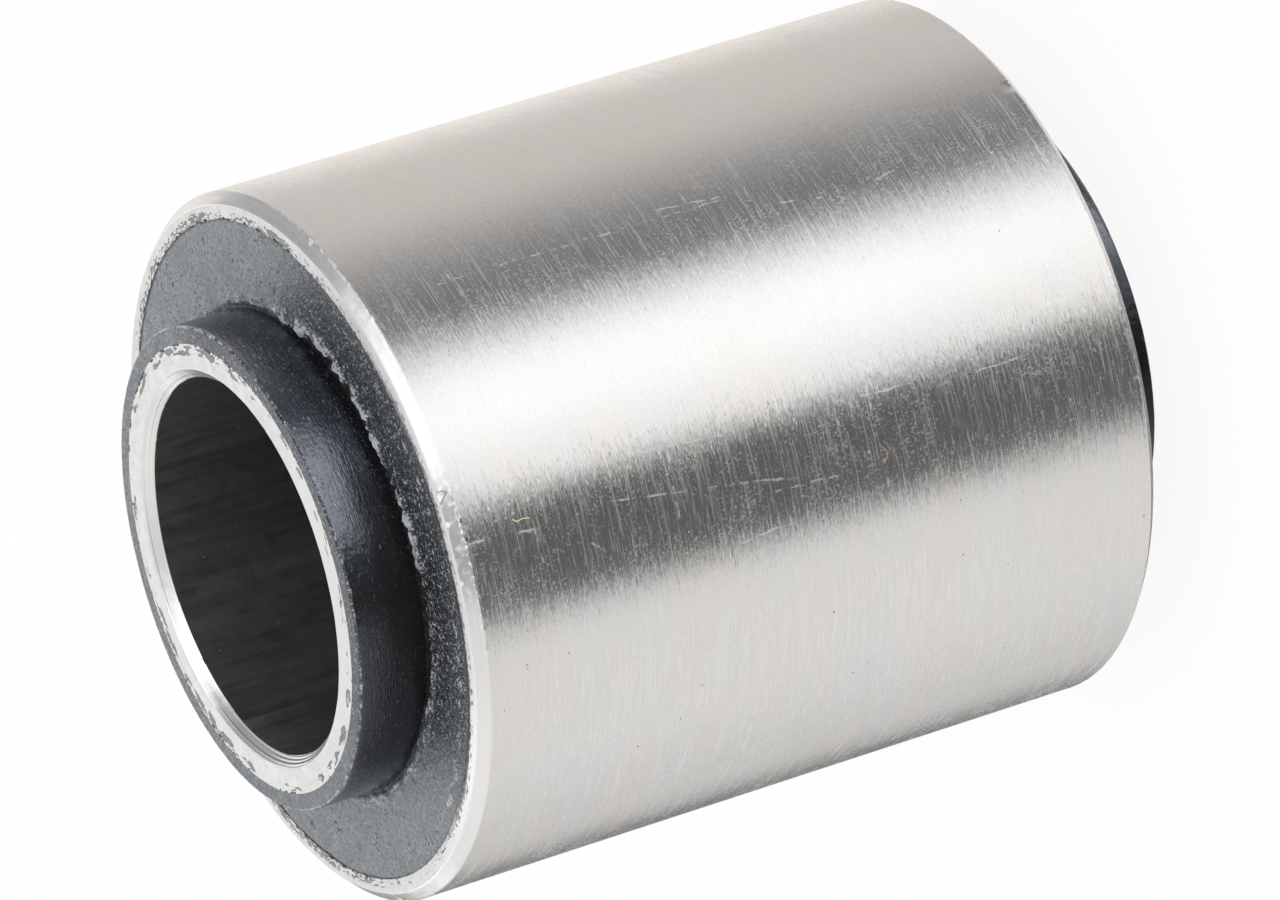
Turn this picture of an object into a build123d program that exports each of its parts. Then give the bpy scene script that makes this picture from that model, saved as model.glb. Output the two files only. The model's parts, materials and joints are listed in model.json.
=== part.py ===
from build123d import *
import os

# Rubber metal bush, in millimetres.
#
# A steel inner sleeve and a steel outer sleeve share one axis, and rubber is
# vulcanised into the gap between them. The inner sleeve is the longer one. Both
# its ends stand out of the outer sleeve, and the rubber runs out over them as a
# thin collar that ends flush with the steel.
#
# The axis is +Z. The origin is on the axis at the lower end, so the bush stands
# on the end of its inner sleeve and lower collar.

# ---------------------------------------------------------------- driving sizes

# Outer sleeve: the tube that is pressed into the eye of the arm or spring.
OUTER_DIAMETER = 32.0
OUTER_SLEEVE_WALL = 1.15
OUTER_SLEEVE_LENGTH = 34.0
OUTER_EDGE_CHAMFER = 0.5

# Inner sleeve: the tube that the bolt clamps. It stands out of the outer sleeve
# by the same amount at both ends, so that a bracket never touches the outer one.
BORE_DIAMETER = 17.0
INNER_SLEEVE_WALL = 1.6
END_PROJECTION = 3.0
BORE_CHAMFER = 0.45

# Rubber: the collars over the ends of the inner sleeve, each with a rounded rim
# and a shallow groove round its foot, so that the collar can flex there.
COLLAR_THICKNESS = 0.8
COLLAR_RIM_RADIUS = 0.15
COLLAR_GROOVE_WIDTH = 0.4
COLLAR_GROOVE_DEPTH = 0.2

# ---------------------------------------------------------------- derived sizes

# Radii, from the bore outwards.
bore_radius = BORE_DIAMETER / 2
inner_sleeve_radius = bore_radius + INNER_SLEEVE_WALL
collar_radius = inner_sleeve_radius + COLLAR_THICKNESS
outer_radius = OUTER_DIAMETER / 2
rubber_radius = outer_radius - OUTER_SLEEVE_WALL
groove_radius = collar_radius + COLLAR_GROOVE_WIDTH

# Heights above the face that the bush stands on.
inner_sleeve_bottom = 0.0
outer_sleeve_bottom = inner_sleeve_bottom + END_PROJECTION
outer_sleeve_top = outer_sleeve_bottom + OUTER_SLEEVE_LENGTH
inner_sleeve_top = outer_sleeve_top + END_PROJECTION
lower_groove_bed = outer_sleeve_bottom + COLLAR_GROOVE_DEPTH
upper_groove_bed = outer_sleeve_top - COLLAR_GROOVE_DEPTH

# Two places closer than this are taken to be the same.
TOLERANCE = 1e-6

# -------------------------------------------------------------- half sections
#
# Every piece is round, so each is drawn once as its half section, beside the
# axis in the XZ plane, and turned about the axis.


def ring_section(inner_radius, outer_radius, bottom, top):
    """The half section of a plain ring that is cut square at both ends."""
    wall = outer_radius - inner_radius
    height = top - bottom
    corner = Align.MIN
    return Plane.XZ * Pos(inner_radius, bottom) * Rectangle(wall, height, align=(corner, corner))


def corners(section, radius, heights):
    """The corners of a half section at one radius, at any of the given heights."""
    at_radius = section.vertices().filter_by(lambda v: abs(v.X - radius) < TOLERANCE)
    return at_radius.filter_by(lambda v: min(abs(v.Z - height) for height in heights) < TOLERANCE)


def turned(section):
    """The solid that a half section sweeps when it goes once round the axis."""
    return revolve(section, axis=Axis.Z)


# --------------------------------------------------------------------- pieces


def make_outer_sleeve():
    """The pressed-in tube, with a lead-in chamfer round both outer edges."""
    ends = (outer_sleeve_bottom, outer_sleeve_top)
    section = ring_section(rubber_radius, outer_radius, *ends)
    section = chamfer(corners(section, outer_radius, ends), OUTER_EDGE_CHAMFER)
    return turned(section)


def make_inner_sleeve():
    """The bolt tube, with a chamfer at both mouths of its bore."""
    ends = (inner_sleeve_bottom, inner_sleeve_top)
    section = ring_section(bore_radius, inner_sleeve_radius, *ends)
    section = chamfer(corners(section, bore_radius, ends), BORE_CHAMFER)
    return turned(section)


def make_rubber_body():
    """One moulding: the block between the sleeves and the collar over each end.

    A shallow groove goes round the foot of each collar, and its rim is rounded.
    """
    rims = (inner_sleeve_bottom, inner_sleeve_top)
    block = ring_section(inner_sleeve_radius, rubber_radius, outer_sleeve_bottom, outer_sleeve_top)
    collars = ring_section(inner_sleeve_radius, collar_radius, *rims)
    lower_groove = ring_section(collar_radius, groove_radius, outer_sleeve_bottom, lower_groove_bed)
    upper_groove = ring_section(collar_radius, groove_radius, upper_groove_bed, outer_sleeve_top)
    section = block + collars - lower_groove - upper_groove
    section = fillet(corners(section, collar_radius, rims), COLLAR_RIM_RADIUS)
    return turned(section)


pieces = {
    "outer_sleeve": make_outer_sleeve(),
    "rubber_body": make_rubber_body(),
    "inner_sleeve": make_inner_sleeve(),
}

os.makedirs("parts", exist_ok=True)
for node_name, piece in pieces.items():
    export_step(piece, f"parts/{node_name}.step")
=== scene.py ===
# %% [markdown]
# # A rubber metal bush
#
# A rubber metal bush is three things in one: a steel tube that is pressed into an eye, a steel tube that
# a bolt clamps, and rubber cured between them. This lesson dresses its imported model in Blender. The
# frame gives the real sizes, in metres, and every piece here is made from them, so nothing is fitted.

import json
import math

import bmesh
import bpy
from mathutils import Matrix, Vector, noise


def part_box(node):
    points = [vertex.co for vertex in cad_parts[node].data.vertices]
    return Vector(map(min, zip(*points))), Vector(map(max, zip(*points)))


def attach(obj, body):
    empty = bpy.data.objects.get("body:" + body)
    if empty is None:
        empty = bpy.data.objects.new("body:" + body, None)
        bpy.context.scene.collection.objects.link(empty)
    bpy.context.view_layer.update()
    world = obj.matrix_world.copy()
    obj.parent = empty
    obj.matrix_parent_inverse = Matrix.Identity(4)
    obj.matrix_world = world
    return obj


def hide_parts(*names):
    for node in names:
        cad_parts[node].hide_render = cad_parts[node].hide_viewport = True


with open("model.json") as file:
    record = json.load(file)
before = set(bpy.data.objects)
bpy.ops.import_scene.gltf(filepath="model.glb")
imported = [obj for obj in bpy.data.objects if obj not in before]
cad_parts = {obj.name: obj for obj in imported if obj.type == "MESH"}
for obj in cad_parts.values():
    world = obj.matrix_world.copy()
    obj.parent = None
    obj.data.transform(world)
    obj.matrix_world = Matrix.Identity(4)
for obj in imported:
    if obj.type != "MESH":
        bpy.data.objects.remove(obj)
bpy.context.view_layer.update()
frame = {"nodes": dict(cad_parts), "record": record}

# %% [markdown]
# ## Sizes
#
# A turned part is known by a few radii and heights. They are read off the frame: the corners of each
# node's box, the mounts of the record, and, for the collar, the widest ring above the outer sleeve.
# Reading them keeps the looks true to the model if somebody changes a size and packs it again.

# %% Radii and heights from the frame
MM = 0.001
# Two places that are closer than this are taken to be the same.
TOUCHING = 1e-7

mounts = {mount["name"]: mount for mount in frame["record"]["mounts"]}
outer_low, outer_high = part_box("outer_sleeve")
_, rubber_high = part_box("rubber_body")
inner_low, inner_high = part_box("inner_sleeve")

OUTER_RADIUS = mounts["outer_diameter"]["dims"]["r_mm"] * MM
RUBBER_RADIUS = rubber_high.x
INNER_RADIUS = inner_high.x
BORE_RADIUS = mounts["bore"]["dims"]["r_mm"] * MM

SLEEVE_BOTTOM, SLEEVE_TOP = outer_low.z, outer_high.z
TUBE_BOTTOM, TUBE_TOP = inner_low.z, inner_high.z
MIDDLE = (TUBE_BOTTOM + TUBE_TOP) / 2


def end_chamfer(length, mount_name):
    """A chamfer's size: the mount's wall is the length that both chamfers leave."""
    return (length - mounts[mount_name]["dims"]["length_mm"] * MM) / 2


OUTER_CHAMFER = end_chamfer(SLEEVE_TOP - SLEEVE_BOTTOM, "outer_diameter")
BORE_CHAMFER = end_chamfer(TUBE_TOP - TUBE_BOTTOM, "bore")
above_sleeve = [
    math.hypot(vertex.co.x, vertex.co.y)
    for vertex in frame["nodes"]["rubber_body"].data.vertices
    if vertex.co.z > SLEEVE_TOP + (TUBE_TOP - SLEEVE_TOP) / 2
]
COLLAR_RADIUS = max(above_sleeve)
radii = (BORE_RADIUS, INNER_RADIUS, COLLAR_RADIUS, RUBBER_RADIUS, OUTER_RADIUS)
print("radii in mm:", [round(radius / MM, 2) for radius in radii])
print("chamfers in mm:", round(OUTER_CHAMFER / MM, 2), round(BORE_CHAMFER / MM, 2))

# %% [markdown]
# ## Camera
#
# The bush is looked at from a little above its upper end with a long lens, which keeps the two ends
# nearly the same size, and the camera is rolled so that the bush lies across the view. The place is
# worked out from three plain things: how high the camera stands, how far off, and how far it is rolled.
# The Standard view shows each colour as it is, so what a finish is given can be read off the render.

# %% Camera
CAMERA_ELEVATION = math.radians(25.25)
CAMERA_ROLL = math.radians(107.19)
CAMERA_DISTANCE = 0.482
CAMERA_LENS = 308.2
AIM_SIDEWAYS = -0.0002

aim = Vector((AIM_SIDEWAYS, 0, MIDDLE))
looking = Vector((0, math.cos(CAMERA_ELEVATION), -math.sin(CAMERA_ELEVATION)))
level_right = Vector((1, 0, 0))
level_up = level_right.cross(looking)
view_up = level_up * math.cos(CAMERA_ROLL) + level_right * math.sin(CAMERA_ROLL)
view_right = looking.cross(view_up)

camera = bpy.data.objects.new("camera", bpy.data.cameras.new("camera"))
camera.data.lens = CAMERA_LENS
camera.data.clip_start = 0.01
camera.data.clip_end = 20
bpy.context.scene.collection.objects.link(camera)
bpy.context.scene.camera = camera
turn = camera.matrix_world.copy()
for column, direction in enumerate((view_right, view_up, -looking)):
    turn.col[column][:3] = direction
turn.translation = aim - looking * CAMERA_DISTANCE
camera.matrix_world = turn
bpy.context.scene.view_settings.view_transform = "Standard"
print("camera at mm:", [round(value / MM, 1) for value in turn.translation])

# %% [markdown]
# ## Shader maths as Python
#
# A material is a sum of small ideas: a streak here, a smear of rubber there. Wiring each sum by hand
# hides the idea, so one small class wraps a node's output. Adding or multiplying two wires adds a Math
# node, and the method `node` makes every other kind: its settings first, then its sockets.


# %% One class for node trees
class Wire:
    """An output of a node tree that can be used in sums. With no socket it only stands for its tree."""

    def __init__(self, tree, socket=None):
        self.tree = tree
        self.socket = socket

    def node(self, kind, settings=None, sockets=None, output=0):
        """A new node: its settings, then the value or wire of each socket. Returns the wanted output."""
        made = self.tree.nodes.new(kind)
        for setting, value in (settings or {}).items():
            setattr(made, setting, value)
        for name, value in (sockets or {}).items():
            if isinstance(value, Wire):
                self.tree.links.new(value.socket, made.inputs[name])
            else:
                made.inputs[name].default_value = value
        return Wire(self.tree, made.outputs[output] if len(made.outputs) else None)

    def math(self, operation, *values, clamp=False):
        """A Math node on numbers or wires. Clamp keeps its result between 0 and 1."""
        settings = {"operation": operation, "use_clamp": clamp}
        return self.node("ShaderNodeMath", settings, dict(enumerate(values)))

    def vector(self, operation, *values, output=0):
        """A Vector Math node on vectors or wires."""
        return self.node("ShaderNodeVectorMath", {"operation": operation}, dict(enumerate(values)), output)

    def __add__(self, other):
        return self.math("ADD", self, other)

    __radd__ = __add__

    def __sub__(self, other):
        return self.math("SUBTRACT", self, other)

    def __rsub__(self, other):
        return self.math("SUBTRACT", other, self)

    def __mul__(self, other):
        return self.math("MULTIPLY", self, other)

    __rmul__ = __mul__


# %% Helpers on wires
def step(wire, start, end):
    """0 below start and 1 above end, with a soft rise between them. It falls if start is above end."""
    sockets = {"Value": wire, "From Min": start, "From Max": end}
    return wire.node("ShaderNodeMapRange", {"interpolation_type": "SMOOTHSTEP"}, sockets)


def window(wire, start, start_soft, end, end_soft):
    """1 between start and end. Each softness is the width of its own soft edge."""
    rise = step(wire, start - start_soft / 2, start + start_soft / 2)
    fall = step(wire, end + end_soft / 2, end - end_soft / 2)
    return rise * fall


def blend(share, first, second):
    """The first colour where share is 0 and the second where it is 1."""
    return share.node("ShaderNodeMix", {"data_type": "RGBA"}, {0: share, 6: first, 7: second}, 2)


def vector_of(tree, x, y, z):
    """A vector of three numbers or wires, in the tree of any wire."""
    return tree.node("ShaderNodeCombineXYZ", None, {0: x, 1: y, 2: z})


def parts_of(vector):
    """The x, y and z of a vector, as three wires."""
    split = vector.node("ShaderNodeSeparateXYZ", None, {0: vector})
    return [Wire(vector.tree, output) for output in split.socket.node.outputs]


def most_of(wires):
    """The largest of some wires at each place."""
    most = wires[0]
    for wire in wires[1:]:
        most = wire.math("MAXIMUM", most, wire)
    return most


def least_of(wires):
    """The smallest of some wires at each place."""
    least = wires[0]
    for wire in wires[1:]:
        least = wire.math("MINIMUM", least, wire)
    return least


def grey(level):
    return (level, level, level, 1)


# %% [markdown]
# ## Studio
#
# Bare steel has hardly a colour of its own. What it shows is the room, so the room is built first: a
# pale dome with a tall key light, a dark gap on each side of it and pale walls round the rest. On a round
# sleeve each of them becomes one band along the axis, because a band's place only depends on the bearing
# round the axis. The dome is a world shader, so it has no edges to catch in other views, and a level of
# 1 lights a colour at about the value that it is written with.

# %% Studio dome
# Bearings are in degrees about the axis from the camera's side. Heights are sines of the elevation, so
# -1 is straight down and 1 straight up. A panel is (from bearing, softness, to bearing, softness, from
# height, to height, softness, colour), and a later panel covers an earlier one.
BELOW, ABOVE = -2, 2
ROOM = (0.94, 0.935, 0.93, 1)
PANELS = {
    "left wall": (-185, 10, -60, 10, BELOW, 0.15, 0.15, (0.85, 0.80, 0.76, 1)),
    "left wall far end": (-180, 10, -143, 20, BELOW, 0.10, 0.15, (1.06, 1.0, 0.95, 1)),
    "left wall top": (-150, 14, -88, 32, 0.09, 0.75, 0.10, (0.50, 0.50, 0.51, 1)),
    "left gap": (-86, 46, -47, 27, BELOW, 0.5, 0.3, (0.25, 0.26, 0.275, 1)),
    "key light": (-46, 28, 3, 14, BELOW, ABOVE, 0.1, (1.57, 1.57, 1.58, 1)),
    "key light side": (-15, 20, 3, 14, BELOW, ABOVE, 0.1, (1.36, 1.345, 1.33, 1)),
    "key light top": (-90, 20, -10, 12, 0.70, 1.10, 0.08, (1.7, 1.7, 1.7, 1)),
    "right gap": (3, 14, 43, 18, BELOW, 0.5, 0.3, (0.15, 0.15, 0.148, 1)),
    "right wall": (43, 18, 112, 80, BELOW, 0.2, 0.3, (1.05, 1.03, 1.01, 1)),
    "right wall top": (46, 12, 130, 20, 0.3, 0.85, 0.2, (1.15, 1.14, 1.12, 1)),
    "right far wall": (124, 70, 190, 10, BELOW, 0.12, 0.2, (0.74, 0.72, 0.70, 1)),
    "dark corner": (150, 30, 174, 10, BELOW, -0.05, 0.15, (0.20, 0.20, 0.20, 1)),
    "rear glow left": (-220, 16, -152, 14, 0.12, 0.8, 0.15, (1.6, 1.6, 1.6, 1)),
    "rear glow right": (140, 16, 220, 16, 0.12, 0.8, 0.15, (1.6, 1.6, 1.6, 1)),
}

world = bpy.data.worlds.new("studio")
bpy.context.scene.world = world
world.use_nodes = True
world.node_tree.nodes.clear()
dome = Wire(world.node_tree)
direction = dome.node("ShaderNodeTexCoord", output="Generated")
east, north, height = parts_of(direction)
bearing = dome.math("ARCTAN2", 0 - east, 0 - north) * math.degrees(1)
light = ROOM
for start, start_soft, end, end_soft, low, high, height_soft, colour in PANELS.values():
    across_panel = window(bearing, start, start_soft, end, end_soft)
    up_panel = window(height, low, height_soft, high, height_soft)
    light = blend(across_panel * up_panel, light, colour)
seen = dome.node("ShaderNodeLightPath", output="Is Camera Ray")
shown = blend(seen, light, grey(1))
background = dome.node("ShaderNodeBackground", None, {"Color": shown, "Strength": 1})
dome.node("ShaderNodeOutputWorld", None, {"Surface": background})
print("studio dome:", len(PANELS), "panels")

# %% [markdown]
# ## Floor
#
# The bush stands on a pale matt floor. To the camera the floor is nearly the white of the backdrop, and
# the light that the bush keeps off it stays as a soft shadow. The steel doesn't mirror the floor: under
# the bush the dome goes on, so that the bands run down the whole sleeve as they do on a long table.

# %% Floor
FLOOR_HALF_SIZE = 2.0
FLOOR_DROP = 0.00003
FLOOR_COLOUR = grey(0.86)
FLOOR_GLOW_SHARE = 0.92

floor_mesh = bmesh.new()
bmesh.ops.create_grid(floor_mesh, x_segments=1, y_segments=1, size=FLOOR_HALF_SIZE)
bmesh.ops.translate(floor_mesh, verts=floor_mesh.verts, vec=(0, 0, TUBE_BOTTOM - FLOOR_DROP))
floor = bpy.data.objects.new("floor", bpy.data.meshes.new("floor"))
floor_mesh.to_mesh(floor.data)
floor_mesh.free()
bpy.context.scene.collection.objects.link(floor)
floor.visible_glossy = False


def new_material(name):
    """A material with an empty tree, and the wire that stands for the tree."""
    material = bpy.data.materials.new(name)
    material.use_nodes = True
    material.node_tree.nodes.clear()
    return material, Wire(material.node_tree)


floor_paint, paint = new_material("floor_paint")
matt = paint.node("ShaderNodeBsdfDiffuse", None, {"Color": FLOOR_COLOUR})
glow = paint.node("ShaderNodeEmission", None, {"Color": grey(1), "Strength": 1})
seen = paint.node("ShaderNodeLightPath", output="Is Camera Ray")
surface = paint.node("ShaderNodeMixShader", None, {0: seen * FLOOR_GLOW_SHARE, 1: matt, 2: glow})
paint.node("ShaderNodeOutputMaterial", None, {"Surface": surface})
floor.data.materials.append(floor_paint)
print("floor at mm:", round((TUBE_BOTTOM - FLOOR_DROP) / MM, 2))

# %% [markdown]
# ## Turned pieces
#
# All three pieces are round. Each starts as the outline of its half section beside the axis. Extra rings
# go in where the finish needs them, and the corners are rounded as a deburring tool would do it. `spin`
# sweeps a twelfth of the ring, and eleven copies close it, which is much faster than one full spin. It
# lists its faces in another order each time, so they are sorted by their points, and every run gives the
# same mesh. A last pass moves the points a few hundredths of a millimetre, because a real edge is never
# quite even and a perfect one looks drawn. A modifier could do that too, but only in one way for a whole
# piece.

# %% Spin a half section
ROUNDING_SEGMENTS = 3
WEDGES = 12


def place_in_order(face, point_count):
    """One number from the first three of a face's points, which no other face of the ring has."""
    number = 0
    for index in sorted(point.index for point in face.verts)[:3]:
        number = number * point_count + index
    return number


def spun_ring(corners, steps):
    """A closed ring. Each corner of its half section is (radius, height, rounding, rings before the next).

    A rounding of 0 leaves a corner sharp, and all the others of a ring are the same.
    """
    ring = bmesh.new()
    points = []
    rounded = []
    for place, (radius, height, rounding, rings) in enumerate(corners):
        next_radius, next_height = corners[(place + 1) % len(corners)][:2]
        for ring_number in range(rings + 1):
            share = ring_number / (rings + 1)
            across = radius + (next_radius - radius) * share
            up = height + (next_height - height) * share
            points.append(ring.verts.new((across, 0, up)))
            if rounding and not ring_number:
                rounded.append(points[-1])
    for place, point in enumerate(points):
        ring.edges.new((points[place - 1], point))
    if rounded:
        bmesh.ops.bevel(
            ring,
            geom=rounded,
            offset=max(corner[2] for corner in corners),
            offset_type="OFFSET",
            segments=ROUNDING_SEGMENTS,
            profile=0.5,
            affect="VERTICES",
            material=-1,
        )
    outline = ring.verts[:] + ring.edges[:]
    wedge_angle = math.tau / WEDGES
    wedge_steps = steps // WEDGES
    bmesh.ops.spin(ring, geom=outline, axis=(0, 0, 1), cent=(0, 0, 0), steps=wedge_steps, angle=wedge_angle)
    wedge = ring.verts[:] + ring.edges[:] + ring.faces[:]
    for number in range(1, WEDGES):
        copied = bmesh.ops.duplicate(ring, geom=wedge)["geom"]
        moved = [part for part in copied if isinstance(part, bmesh.types.BMVert)]
        swing = Matrix.Rotation(number * wedge_angle, 3, "Z")
        bmesh.ops.rotate(ring, verts=moved, cent=(0, 0, 0), matrix=swing)
    bmesh.ops.remove_doubles(ring, verts=ring.verts, dist=TOUCHING)
    bmesh.ops.recalc_face_normals(ring, faces=ring.faces)
    ring.verts.index_update()
    ring.faces.sort(key=lambda face: place_in_order(face, len(ring.verts)))
    return ring


# %% Move the points of a ring
def bearing_of(point):
    """Degrees round the axis from the camera's side."""
    return math.degrees(math.atan2(-point.x, -point.y))


def ripple(point, size, seed=0.0):
    """Smooth noise from -1 to 1 with bumps of about this size, in metres."""
    return noise.noise(point / size + Vector((seed, seed, seed)))


def smooth(value, start, end):
    """0 below start and 1 above end, like the step of the finishes."""
    share = min(1.0, max(0.0, (value - start) / (end - start)))
    return share * share * (3 - 2 * share)


def around(bearing, centre, half_width, softness):
    """1 within half_width degrees of a bearing, and 0 beyond it."""
    away = abs((bearing - centre + 180) % 360 - 180)
    return 1 - smooth(away, half_width - softness, half_width + softness)


def sculpt(ring, shape):
    """Moves each point to the radius and height that shape(point, radius, bearing) gives."""
    for vertex in ring.verts:
        point = vertex.co.copy()
        radius = math.hypot(point.x, point.y)
        new_radius, new_height = shape(point, radius, bearing_of(point))
        vertex.co = (point.x * new_radius / radius, point.y * new_radius / radius, new_height)
    ring.normal_update()


# %% Make a ring a finished piece
SHARP_ANGLE = 32


def finished_piece(name, ring, finishes, finish_of, node_name):
    """An object of the mesh that stands for its CAD node. finish_of(face) gives each face's finish."""
    order = list(finishes)
    for face in ring.faces:
        face.material_index = order.index(finish_of(face))
    mesh = bpy.data.meshes.new(name)
    ring.to_mesh(mesh)
    ring.free()
    mesh.shade_smooth()
    mesh.set_sharp_from_angle(angle=math.radians(SHARP_ANGLE))
    piece = bpy.data.objects.new(name, mesh)
    bpy.context.scene.collection.objects.link(piece)
    for finish in finishes.values():
        piece.data.materials.append(finish)
    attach(piece, "root")
    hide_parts(node_name)
    triangles = sum(len(polygon.vertices) - 2 for polygon in mesh.polygons)
    print(name, "has", triangles, "triangles and the finishes", ", ".join(finishes))


# %% [markdown]
# ## Places on a turned piece
#
# A lathe leaves its marks round the axis, so a finish is drawn in three measures: how far round, how far
# along and how far out. Noise that is stretched the long way round turns into turning streaks. The
# stretched place is the unit vector out from the axis times the radius, with the way along as its third
# part, so it has no seam. The streaks do two things. They change the colour a little, and they tip the
# surface sideways, which is what breaks the edge of a reflection into fine teeth.

# %% Measures of a place
# What shows in a gap or a pore, where light goes in and hardly any comes out, and the black of painted
# shade.
HOLE_AND_SHADE = {"Base Color": grey(0.015), "Roughness": 0.9, "Specular IOR Level": 0.05}


def measures(tree):
    """Where a point is, in mm: the place, the unit vector out from the axis, the radius and the height."""
    place = tree.node("ShaderNodeTexCoord", output="Object")
    place = place.vector("MULTIPLY", place, (1 / MM, 1 / MM, 1 / MM))
    _, _, height = parts_of(place)
    flat = place.vector("MULTIPLY", place, (1, 1, 0))
    radius = flat.vector("LENGTH", flat, output="Value")
    outward = flat.vector("NORMALIZE", flat)
    return place, outward, radius, height


def bearing_wire(outward):
    """Degrees round the axis from the camera's side, as a wire."""
    x, y, _ = parts_of(outward)
    return outward.math("ARCTAN2", 0 - x, 0 - y) * math.degrees(1)


def wound(outward, nominal_radius, along):
    """A place that noise can be stretched in: two parts go round at the nominal radius, one goes along."""
    scaled = outward.vector("MULTIPLY", outward, (nominal_radius, nominal_radius, 0))
    return outward.vector("ADD", scaled, vector_of(outward, 0, 0, along))


def cloud(place, size, seed=0.0, detail=1.0):
    """Noise from 0 to 1, mostly near 0.5. The size is one number, or three to stretch it."""
    sizes = size if isinstance(size, tuple) else (size, size, size)
    scales = tuple(1 / value for value in sizes)
    moved = place.vector("MULTIPLY_ADD", place, scales, (seed, 1.7 * seed, 2.3 * seed))
    return place.node("ShaderNodeTexNoise", None, {"Vector": moved, "Scale": 1, "Detail": detail})


def sideways(outward, amount):
    """The surface's own normal, tipped round the axis by this many radians."""
    normal = outward.node("ShaderNodeNewGeometry", output="Normal")
    round_axis = outward.vector("CROSS_PRODUCT", outward, (0, 0, 1))
    tip = outward.node("ShaderNodeVectorMath", {"operation": "SCALE"}, {0: round_axis, 3: amount})
    return outward.vector("NORMALIZE", outward.vector("ADD", normal, tip))


def finish_shader(finish, tree, constants, varying, holes_and_shade=None):
    """The Principled shader of a finish, with its fixed values and those that vary over the surface.

    In a hole, and where shade is painted, it is black and has no gloss.
    """
    shader = tree.node("ShaderNodeBsdfPrincipled", None, {**constants, **varying})
    if holes_and_shade:
        black = tree.node("ShaderNodeBsdfPrincipled", None, HOLE_AND_SHADE)
        shader = tree.node("ShaderNodeMixShader", None, {0: holes_and_shade, 1: shader, 2: black})
    tree.node("ShaderNodeOutputMaterial", None, {"Surface": shader})
    print("finish", finish.name, "has", len(finish.node_tree.nodes), "nodes")


# %% [markdown]
# ## Outer sleeve, turned side
#
# The outside is turned and then lightly ground, and the bush has been handled, so three layers lie on
# each other: fine streaks round the sleeve, slow clouds where the skin of oil is thicker, and scratches
# from the box. A scratch is a dull line that gathers light from the whole room, so it looks pale in a
# dark band and vanishes in a bright one. Each one is a short line between two places on the unrolled
# sleeve, and its mask is the distance to that line. A painted texture would give the same lines, but
# they would blur up close, while a distance stays sharp at any size.

# %% Scratches on the outer sleeve
# A line is (bearing, height) to (bearing, height), in degrees and mm. Lines along the axis come from
# the rim of another part, and lines round it from a gauge or a fingernail.
SCRATCHES = (
    ((-34.5, 33.0), (-34.5, 26.3)),
    ((-34.5, 25.8), (-34.5, 19.0)),
    ((-36.0, 22.1), (-35.0, 19.0)),
    ((-31.0, 17.3), (-29.5, 14.4)),
    ((-29.5, 12.2), (-30.5, 11.0)),
    ((-37.5, 32.4), (-24.0, 32.1)),
    ((-38.0, 20.6), (-30.0, 20.6)),
    ((-26.0, 18.8), (-17.0, 18.6)),
    ((-41.5, 17.7), (-32.0, 17.8)),
    ((1.0, 27.8), (2.2, 23.7)),
    ((0.5, 26.3), (4.0, 26.4)),
    ((7.5, 26.5), (14.5, 26.6)),
    ((7.0, 29.4), (10.0, 23.7)),
    ((10.0, 23.4), (12.0, 20.6)),
    ((6.5, 27.3), (5.5, 26.6)),
    ((1.0, 16.5), (17.5, 16.4)),
    ((1.5, 18.1), (6.0, 18.1)),
    ((2.7, 18.0), (3.2, 14.0)),
    ((13.0, 21.8), (13.5, 18.5)),
    ((19.0, 23.8), (18.5, 20.8)),
    ((6.7, 36.4), (6.7, 35.7)),
    ((7.4, 34.3), (7.3, 33.4)),
    ((7.3, 33.3), (12.7, 33.2)),
    ((11.0, 32.7), (12.5, 32.0)),
    ((12.0, 30.8), (14.0, 30.2)),
    ((0.6, 14.6), (0.9, 12.0)),
    ((4.8, 13.5), (4.1, 8.8)),
    ((-35.5, 4.3), (-24.5, 4.2)),
    ((-34.5, 6.9), (-24.0, 6.3)),
    ((37.0, 23.1), (61.0, 23.3)),
    ((140.0, 31.0), (151.0, 24.0)),
    ((-118.0, 12.0), (-112.0, 22.0)),
    ((168.0, 15.0), (176.0, 15.4)),
)
SCRATCH_HALF_WIDTH = 0.04
SCRATCH_WIDENING = 0.04
print("scratches:", len(SCRATCHES))

# %% Fibres, specks and pits on the outer sleeve
# Fibres run through a few places and specks and pits lie at one, each as (bearing, height).
YELLOW_FIBRE = ((5.2, 34.2), (5.7, 34.0), (5.3, 33.7), (5.5, 33.4))
RUST_FIBRE = ((10.8, 16.5), (12.4, 16.2), (14.0, 16.4))
PALE_SPECKS = (
    (2.6, 35.1),
    (2.7, 34.1),
    (4.5, 34.1),
    (-28.2, 6.3),
    (47.5, 31.9),
    (15.0, 26.2),
    (11.3, 17.1),
    (13.2, 7.0),
)
DARK_PITS = (
    (27.7, 34.7),
    (28.3, 34.7),
    (28.0, 32.7),
    (41.6, 26.1),
    (50.0, 29.1),
    (46.9, 27.1),
    (23.3, 13.1),
    (32.6, 13.1),
    (37.1, 10.8),
    (36.0, 3.9),
    (35.6, 19.6),
    (49.1, 18.4),
    (47.7, 17.7),
    (34.5, 35.9),
    (-15.5, 7.8),
    (55.3, 10.4),
)
SPECK_RADIUS = 0.05
PIT_RADIUS = 0.06
FIBRE_HALF_WIDTH = 0.035
FIBRE_CORE = 0.01
print("specks:", len(PALE_SPECKS), "pits:", len(DARK_PITS))


# %% Distances on the unrolled sleeve
def unrolled(outward, radius, height):
    """The place on the sleeve's side as if it were rolled out flat: mm round, mm up."""
    return vector_of(outward, bearing_wire(outward) * (math.radians(1) * radius), height, 0)


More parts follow.
